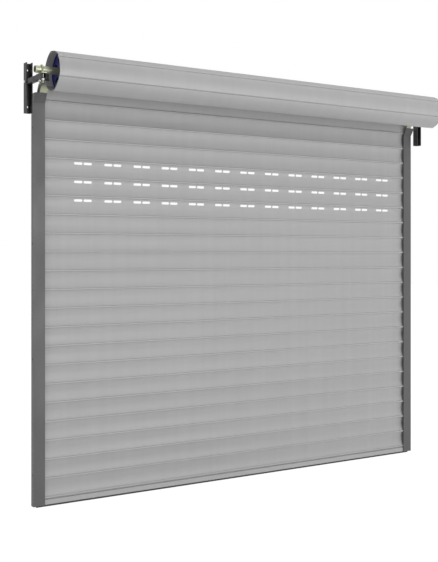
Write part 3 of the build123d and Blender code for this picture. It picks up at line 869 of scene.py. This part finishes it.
# %% A tree that lays a ring of tacks
TACKS = 12
TACK_LENGTH = 0.016
TACK_BEAD = 0.0022
TACK_SIZES = (0.85, 1.15)
TACK_SEED = 7
BEAD_SEGMENTS, BEAD_RINGS = 8, 5
DRUM_LIP = 0.008


def tack_tree():
    tree, given = new_tree("tack_welds", {
        "Count": "Int", "Radius": "Float", "Length": "Float", "Bead": "Float", "Seed": "Int"})
    circle = add(tree, "GeometryNodeMeshCircle", {
        "Vertices": given["Count"], "Radius": given["Radius"]})
    ball = add(tree, "GeometryNodeMeshUVSphere", {
        "Segments": BEAD_SEGMENTS, "Rings": BEAD_RINGS, "Radius": 1.0})
    half_length = times(tree, given["Length"], 0.5)
    bead = moved(tree, ball, Scale=place(tree, given["Bead"], half_length, given["Bead"]))
    index = add(tree, "GeometryNodeInputIndex")
    angle = times(tree, index, math(tree, "DIVIDE", 2 * pi, given["Count"]))
    size = tree.nodes.new("FunctionNodeRandomValue")
    size.data_type = "FLOAT"
    limits = [socket for socket in size.inputs if socket.enabled]
    limits[0].default_value, limits[1].default_value = TACK_SIZES
    tree.links.new(given["Seed"], size.inputs["Seed"])
    chosen = [socket for socket in size.outputs if socket.enabled][0]
    ring = set_on(tree, circle, bead, Scale=place(tree, chosen, chosen, chosen),
                  Rotation=turned_to(tree, place(tree, z=angle)))
    close(tree, moved(tree, ring, Rotation=(0, pi / 2, 0)), given["Material"])
    return tree

# %% Lay the tack welds
tack_ring = grow("tack_ring", tack_tree(), finishes["drum_blue"], {
    "Count": TACKS, "Radius": drum_radius - RIM_SHEET, "Length": TACK_LENGTH, "Bead": TACK_BEAD,
    "Seed": TACK_SEED}, ROUND)
face_offset = span(drum_names[0])[0] / 2 - DRUM_LIP
tack_rows = [((x + side * face_offset, AXLE_Y, AXLE_Z), UNTURNED)
             for x in drum_places for side in (-1, 1)]
piece(set_out("drum_tack_welds", tack_ring, tack_rows, "drum_blue", ROUND), "roll", "drum_blue")

# %% [markdown]
# Nuts and bolt heads are hexagons whose corners are turned off. A bevel would round every edge
# alike. The tree crosses a six-sided prism with a flattened ball, which gives the true curved
# chamfers, and bores it. A thread is a thin ridge that runs in a helix round the shank. A bump
# would do from afar, but only real relief gives it a shadow and an edge close up.

# %% Hexagons
CHAMFER_WIDTH = 1.06
CHAMFER_HEIGHT = 0.82
BALL_SEGMENTS, BALL_RINGS = 36, 24


def cylinder(tree, sides, radius, depth):
    """A prism with this many sides, about Z."""
    return add(tree, "GeometryNodeMeshCylinder", {
        "Vertices": sides, "Radius": radius, "Depth": depth})


def hexagon_tree(bored):
    tree, given = new_tree("hexagon", {"Radius": "Float", "Height": "Float", "Bore": "Float"})
    prism = cylinder(tree, 6, given["Radius"], given["Height"])
    ball = add(tree, "GeometryNodeMeshUVSphere", {
        "Segments": BALL_SEGMENTS, "Rings": BALL_RINGS, "Radius": 1.0})
    wide = times(tree, given["Radius"], CHAMFER_WIDTH)
    flat = moved(tree, ball, Scale=place(
        tree, wide, wide, times(tree, given["Height"], CHAMFER_HEIGHT)))
    shape = add(tree, "GeometryNodeMeshBoolean", {1: [prism, flat]},
                operation="INTERSECT", solver="EXACT")
    if bored:
        drill = cylinder(tree, LATHE_STEPS, given["Bore"], times(tree, given["Height"], 2.0))
        shape = cut_out(tree, shape, drill)
    close(tree, shape, given["Material"])
    return tree


nut_form, head_form = hexagon_tree(bored=True), hexagon_tree(bored=False)


def hexagon(name, form, radius, height, bore=0.0):
    """A nut or a bolt head about Z, its middle at the origin."""
    return grow(name, form, bright_zinc, {
        "Radius": radius, "Height": height, "Bore": bore}, CRISP)

# %% Threads
THREAD_RESOLUTION = 12
RIDGE_SIDES = 3
RIDGE_SHARE = 0.38


def thread_tree():
    tree, given = new_tree("cut_thread", {"Radius": "Float", "Length": "Float", "Pitch": "Float"})
    line = add(tree, "GeometryNodeCurveSpiral", {
        "Resolution": THREAD_RESOLUTION,
        "Rotations": math(tree, "DIVIDE", given["Length"], given["Pitch"]),
        "Start Radius": given["Radius"], "End Radius": given["Radius"],
        "Height": given["Length"]})
    ridge = add(tree, "GeometryNodeCurvePrimitiveCircle", {
        "Resolution": RIDGE_SIDES, "Radius": times(tree, given["Pitch"], RIDGE_SHARE)})
    helix = add(tree, "GeometryNodeCurveToMesh", {
        "Curve": line, "Profile Curve": ridge, "Fill Caps": True})
    close(tree, helix, given["Material"])
    return tree


thread_form = thread_tree()


def thread(name, radius, length, pitch):
    """A thread that starts at the origin and climbs along Z."""
    return grow(name, thread_form, bright_zinc, {
        "Radius": radius, "Length": length, "Pitch": pitch})

# %% [markdown]
# A U-bolt ties the axle to each arm. The frame's own bent rod keeps its shape, because it is
# already a true bend. Its four nuts are plain there, so new ones with chamfers stand for them,
# and the tails below them get their thread.

# %% Nuts and threads of the U-bolts
NUT_RADIUS = 0.0085
NUT_HEIGHT = 0.008
NUT_BORE_GAP = 0.0001
U_ROD = 0.0045
TAIL_PITCH = 0.00125
TAIL_START = 0.0008
TAIL_SPARE = 0.001
nut_low, nut_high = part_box("u_bolt_nuts")
across = NUT_RADIUS * cos(pi / 6)
leg_x = [middle("axle_saddle_" + label)[0] for label in ("left", "right")]
legs = [(x, y) for x in leg_x for y in (nut_low.y + across, nut_high.y - across)]
rod_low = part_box("axle_u_bolts")[0].z
print("legs", [(round(x, 4), round(y - AXLE_Y, 4)) for x, y in legs])
nut = hexagon("nut", nut_form, NUT_RADIUS, NUT_HEIGHT, U_ROD + NUT_BORE_GAP)
nut_rows = [((x, y, (nut_low.z + nut_high.z) / 2), UNTURNED) for x, y in legs]
nuts = set_out("saddle_nuts", nut, nut_rows, slot_of["u_bolt_nuts"], CRISP)
piece(nuts, "frame", slot_of["u_bolt_nuts"], "u_bolt_nuts")
tail = thread("tail", U_ROD, nut_low.z - rod_low - TAIL_SPARE, TAIL_PITCH)
tail_rows = [((x, y, rod_low + TAIL_START), UNTURNED) for x, y in legs]
tails = set_out("saddle_bolt_threads", tail, tail_rows, slot_of["axle_u_bolts"])
piece(tails, "frame", slot_of["axle_u_bolts"])

# %% [markdown]
# A through bolt holds each arm to its wall channel. It could be one lathe shape, but a bolt is
# known by its hexagons, so it is put together from a shank, a head, a nut and a thread, as one
# blank along Z that is laid on its side twice.

# %% Bolts of the arms
BOLT_RADIUS = 0.005
BOLT_HEAD = 0.0065
BOLT_HEAD_RADIUS = 0.009
BOLT_TAIL = 0.010
BOLT_TIP = 0.001
BOLT_TIP_SHARE = 0.75
BOLT_PITCH = 0.0015
_, bolt_y, bolt_z = middle("arm_bolts")
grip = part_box("arm_bolts")[1].x - leg_x[1] - BOLT_HEAD
tip = -grip - BOLT_TAIL
shank = turned("shank", [(0, tip), (BOLT_RADIUS * BOLT_TIP_SHARE, tip),
                         (BOLT_RADIUS, tip + BOLT_TIP), (BOLT_RADIUS, grip), (0, grip)])
bolt_head = hexagon("bolt_head", head_form, BOLT_HEAD_RADIUS, BOLT_HEAD)
bolt_nut = hexagon("bolt_nut", nut_form, BOLT_HEAD_RADIUS, BOLT_HEAD, BOLT_RADIUS)
bolt_thread = thread("bolt_thread", BOLT_RADIUS, BOLT_TAIL + BOLT_HEAD, BOLT_PITCH)
bolt = joined("bolt", (shank, Matrix()), (bolt_head, raised(grip + BOLT_HEAD / 2)),
              (bolt_nut, raised(-grip - BOLT_HEAD / 2)), (bolt_thread, raised(tip + BOLT_TIP)))
bolt_rows = [((x, bolt_y, bolt_z), (0, side * pi / 2, 0)) for x, side in zip(leg_x, (-1, 1))]
bolts = set_out("arm_bolt_sets", bolt, bolt_rows, slot_of["arm_bolts"], CRISP)
piece(bolts, "frame", slot_of["arm_bolts"], "arm_bolts")

# %% [markdown]
# The first slat on the roll is screwed to a clip on each drum. The heads are domed with a hexagon
# socket, so nothing catches on the next turn of slats. The socket could be painted dark, but then
# it would have no walls, so a Boolean in its tree cuts it.

# %% A tree that cuts a socket
SCREW_HEAD = 0.007
SCREW_RISE = 0.003
SCREW_SHANK = 0.0037
SCREW_SPACING = 0.034
SCREW_LIFT = 0.0005
SCREW_END_GAP = 0.0003
SOCKET = 0.0028
SOCKET_DEPTH = 0.0018
screw_slot = slot_of["leading_screws"]


def socket_tree():
    tree, given = new_tree("cut_socket", {
        "Blank": "Object", "Radius": "Float", "Depth": "Float", "Top": "Float"})
    tool = cylinder(tree, 6, given["Radius"], times(tree, given["Depth"], 2.0))
    set_tool = moved(tree, tool, Translation=place(tree, z=given["Top"]))
    close(tree, cut_out(tree, shape_of(tree, given["Blank"]), set_tool), given["Material"])
    return tree

# %% Screws of the first slat
slat_middle = HINGE_RADIUS * cos(radians(STEP / 2)) + body_centre[0]
slat_rise = sqrt((BODY - SHEET / 2) ** 2 - (body_centre[1] - PITCH / 2) ** 2)
head_radius = slat_middle + slat_rise + SHEET + SCREW_LIFT
shank_length = head_radius - drum_radius - SCREW_END_GAP
screw_profile = [(0, -shank_length), (SCREW_SHANK, -shank_length), (SCREW_SHANK, 0)]
plain_screw = turned("plain_screw", screw_profile + crown(SCREW_HEAD, SCREW_RISE))
screw = grow("screw", socket_tree(), bright_zinc, {
    "Blank": plain_screw, "Radius": SOCKET, "Depth": SOCKET_DEPTH, "Top": SCREW_RISE})
drop(plain_screw)
clip_angle = radians(FIRST_ANGLE + (TURN_COUNT - 0.5) * STEP)
facing = atan2(-cos(clip_angle), sin(clip_angle))
head_y, head_z = AXLE_Y + head_radius * cos(clip_angle), AXLE_Z + head_radius * sin(clip_angle)
screw_rows = [((x + side * SCREW_SPACING / 2, head_y, head_z), (facing, 0, 0))
              for x in drum_places for side in (-1, 1)]
screws = set_out("socket_screws", screw, screw_rows, screw_slot)
piece(screws, "roll", screw_slot, "leading_screws")

# %% [markdown]
# Each inlet horn, the curved strip over which the slats run in, is also held on the guide's flare
# by two rivets. The same domed head as on the locks serves, leaned with the flare and painted
# with the guide.

# %% Rivets of the inlet horns
FLARE_LEAN = radians(30.0)
GUIDE_GAP = 0.030
GUIDE_SHEET = 0.0025
FLARE_HEIGHT = 0.057
RIVET_DROP = 0.016
RIVET_SPACING = 0.024
guide_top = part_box("guide_left")[1].z
flare_y = -GUIDE_GAP / 2 - FLARE_HEIGHT * sin(FLARE_LEAN) / cos(FLARE_LEAN)
rivet_y = flare_y + RIVET_DROP * sin(FLARE_LEAN) - GUIDE_SHEET * cos(FLARE_LEAN)
rivet_z = guide_top - RIVET_DROP * cos(FLARE_LEAN) - GUIDE_SHEET * sin(FLARE_LEAN)
horn_x = [middle("inlet_horn_" + label)[0] for label in ("left", "right")]
rivet_rows = [((x + side * RIVET_SPACING / 2, rivet_y, rivet_z), (FLARE_LEAN + pi / 2, 0, 0))
              for x in horn_x for side in (-1, 1)]
horn_rivets = set_out("horn_rivets", rivet("rivet"), rivet_rows, "guide_steel")
piece(horn_rivets, "frame", "guide_steel")

# %% [markdown]
# The camera stands where the photograph was taken. It could be placed by eye, but here it is
# worked out from the curtain's edges in the picture: level, 3.6 m to the left of the shutter's
# middle, 5.4 m in front of it and 1.5 m up. Verticals stay parallel, so the frame is shifted and
# not tilted.

# %% Camera
CAMERA = (-3.603, -5.411, 1.533)
LOOK = (0.5325, 0.8464)
SENSOR = 36.0
FOCAL_PIXELS = 940.0
IMAGE = (438, 562)
HORIZON_PIXEL = 254.6
CENTRE_PIXEL = 220.2

lens = bpy.data.cameras.new("camera")
lens.sensor_width = SENSOR
lens.lens = FOCAL_PIXELS * SENSOR / IMAGE[1]
lens.shift_y = (HORIZON_PIXEL - IMAGE[1] / 2) / IMAGE[1]
lens.shift_x = (IMAGE[0] / 2 - CENTRE_PIXEL) / IMAGE[1]
camera = linked("camera", lens)
camera.location = CAMERA
camera.rotation_euler = (pi / 2, 0.0, -atan2(LOOK[0], LOOK[1]))
bpy.context.scene.camera = camera
print("lens", round(lens.lens, 2), "shift", round(lens.shift_x, 4), round(lens.shift_y, 4))

# %% [markdown]
# The photograph has a plain white ground. Strong light would whiten it, but also wash out the
# object. So the world is white to the camera and to reflections, and a pale grey as a light. The
# floor takes the object's shadow, and is lifted towards white for those rays only.

# %% World
WORLD_LIGHT = 0.66
WHITE = (1.0, 1.0, 1.0, 1.0)


def seen(tree):
    """1 for rays that show the background itself: camera, mirror and glass rays."""
    path = tree.nodes.new("ShaderNodeLightPath")
    first = math(tree, "MAXIMUM", path.outputs["Is Camera Ray"], path.outputs["Is Glossy Ray"])
    return math(tree, "MAXIMUM", first, path.outputs["Is Transmission Ray"])


world = bpy.data.worlds.new("studio")
world.use_nodes = True
bpy.context.scene.world = world
sky = world.node_tree
background = sky.nodes["Background"]
background.inputs["Color"].default_value = WHITE
strength = ramp(sky, seen(sky), (0.0, 1.0), (WORLD_LIGHT, 1.0))
sky.links.new(strength, background.inputs["Strength"])
print("world light", WORLD_LIGHT)

# %% Floor
FLOOR_SIZE = 60.0
FLOOR_LIFT = 0.86
FLOOR_GLOW = 1.1
FLOOR_PALE = (0.9, 0.9, 0.9, 1.0)
floor_mesh = bmesh.new()
bmesh.ops.create_grid(floor_mesh, x_segments=1, y_segments=1, size=FLOOR_SIZE / 2)
floor = kept("floor", floor_mesh)
pale, pale_tree, pale_shader, _ = finish("pale_floor", rough=0.9)
pale_shader.inputs["Base Color"].default_value = FLOOR_PALE
glow = add(pale_tree, "ShaderNodeEmission", {"Color": WHITE, "Strength": FLOOR_GLOW})
lifted = add(pale_tree, "ShaderNodeMixShader", {
    "Fac": times(pale_tree, seen(pale_tree), FLOOR_LIFT), 1: pale_shader.outputs[0], 2: glow})
pale_tree.links.new(lifted, pale_tree.nodes["Material Output"].inputs["Surface"])
floor.data.materials.append(pale)
print("floor", FLOOR_SIZE, "m wide")

# %% [markdown]
# The photograph's light is flat. A key lamp at one side would darken every seam, so most light
# comes from the world. One broad, low lamp in front evens out the slats and reaches under the
# roll, a weak one overhead lifts the top of the roll, and one behind does for the back what the
# first does here.

# %% Lamps
def lamp(name, location, target, size, power):
    """A square area lamp that points at a target."""
    light = bpy.data.lights.new(name, "AREA")
    light.size = size
    light.energy = power
    made = linked(name, light)
    made.location = location
    way = Vector(target) - Vector(location)
    made.rotation_euler = way.to_track_quat("-Z", "Y").to_euler()
    print("lamp", name, power, "W,", round(way.length, 1), "m away")


lamp("front", location=(1.8, -9.0, 1.9), target=(0.1, 0.0, 1.4), size=5.0, power=350.0)
lamp("top", location=(-0.5, -1.2, 6.0), target=(0.0, -0.2, 0.0), size=4.0, power=12.0)
lamp("back", location=(2.0, 7.0, 3.5), target=(0.0, 0.0, 1.2), size=5.0, power=260.0)

bpy.context.scene.view_settings.view_transform = "Standard"
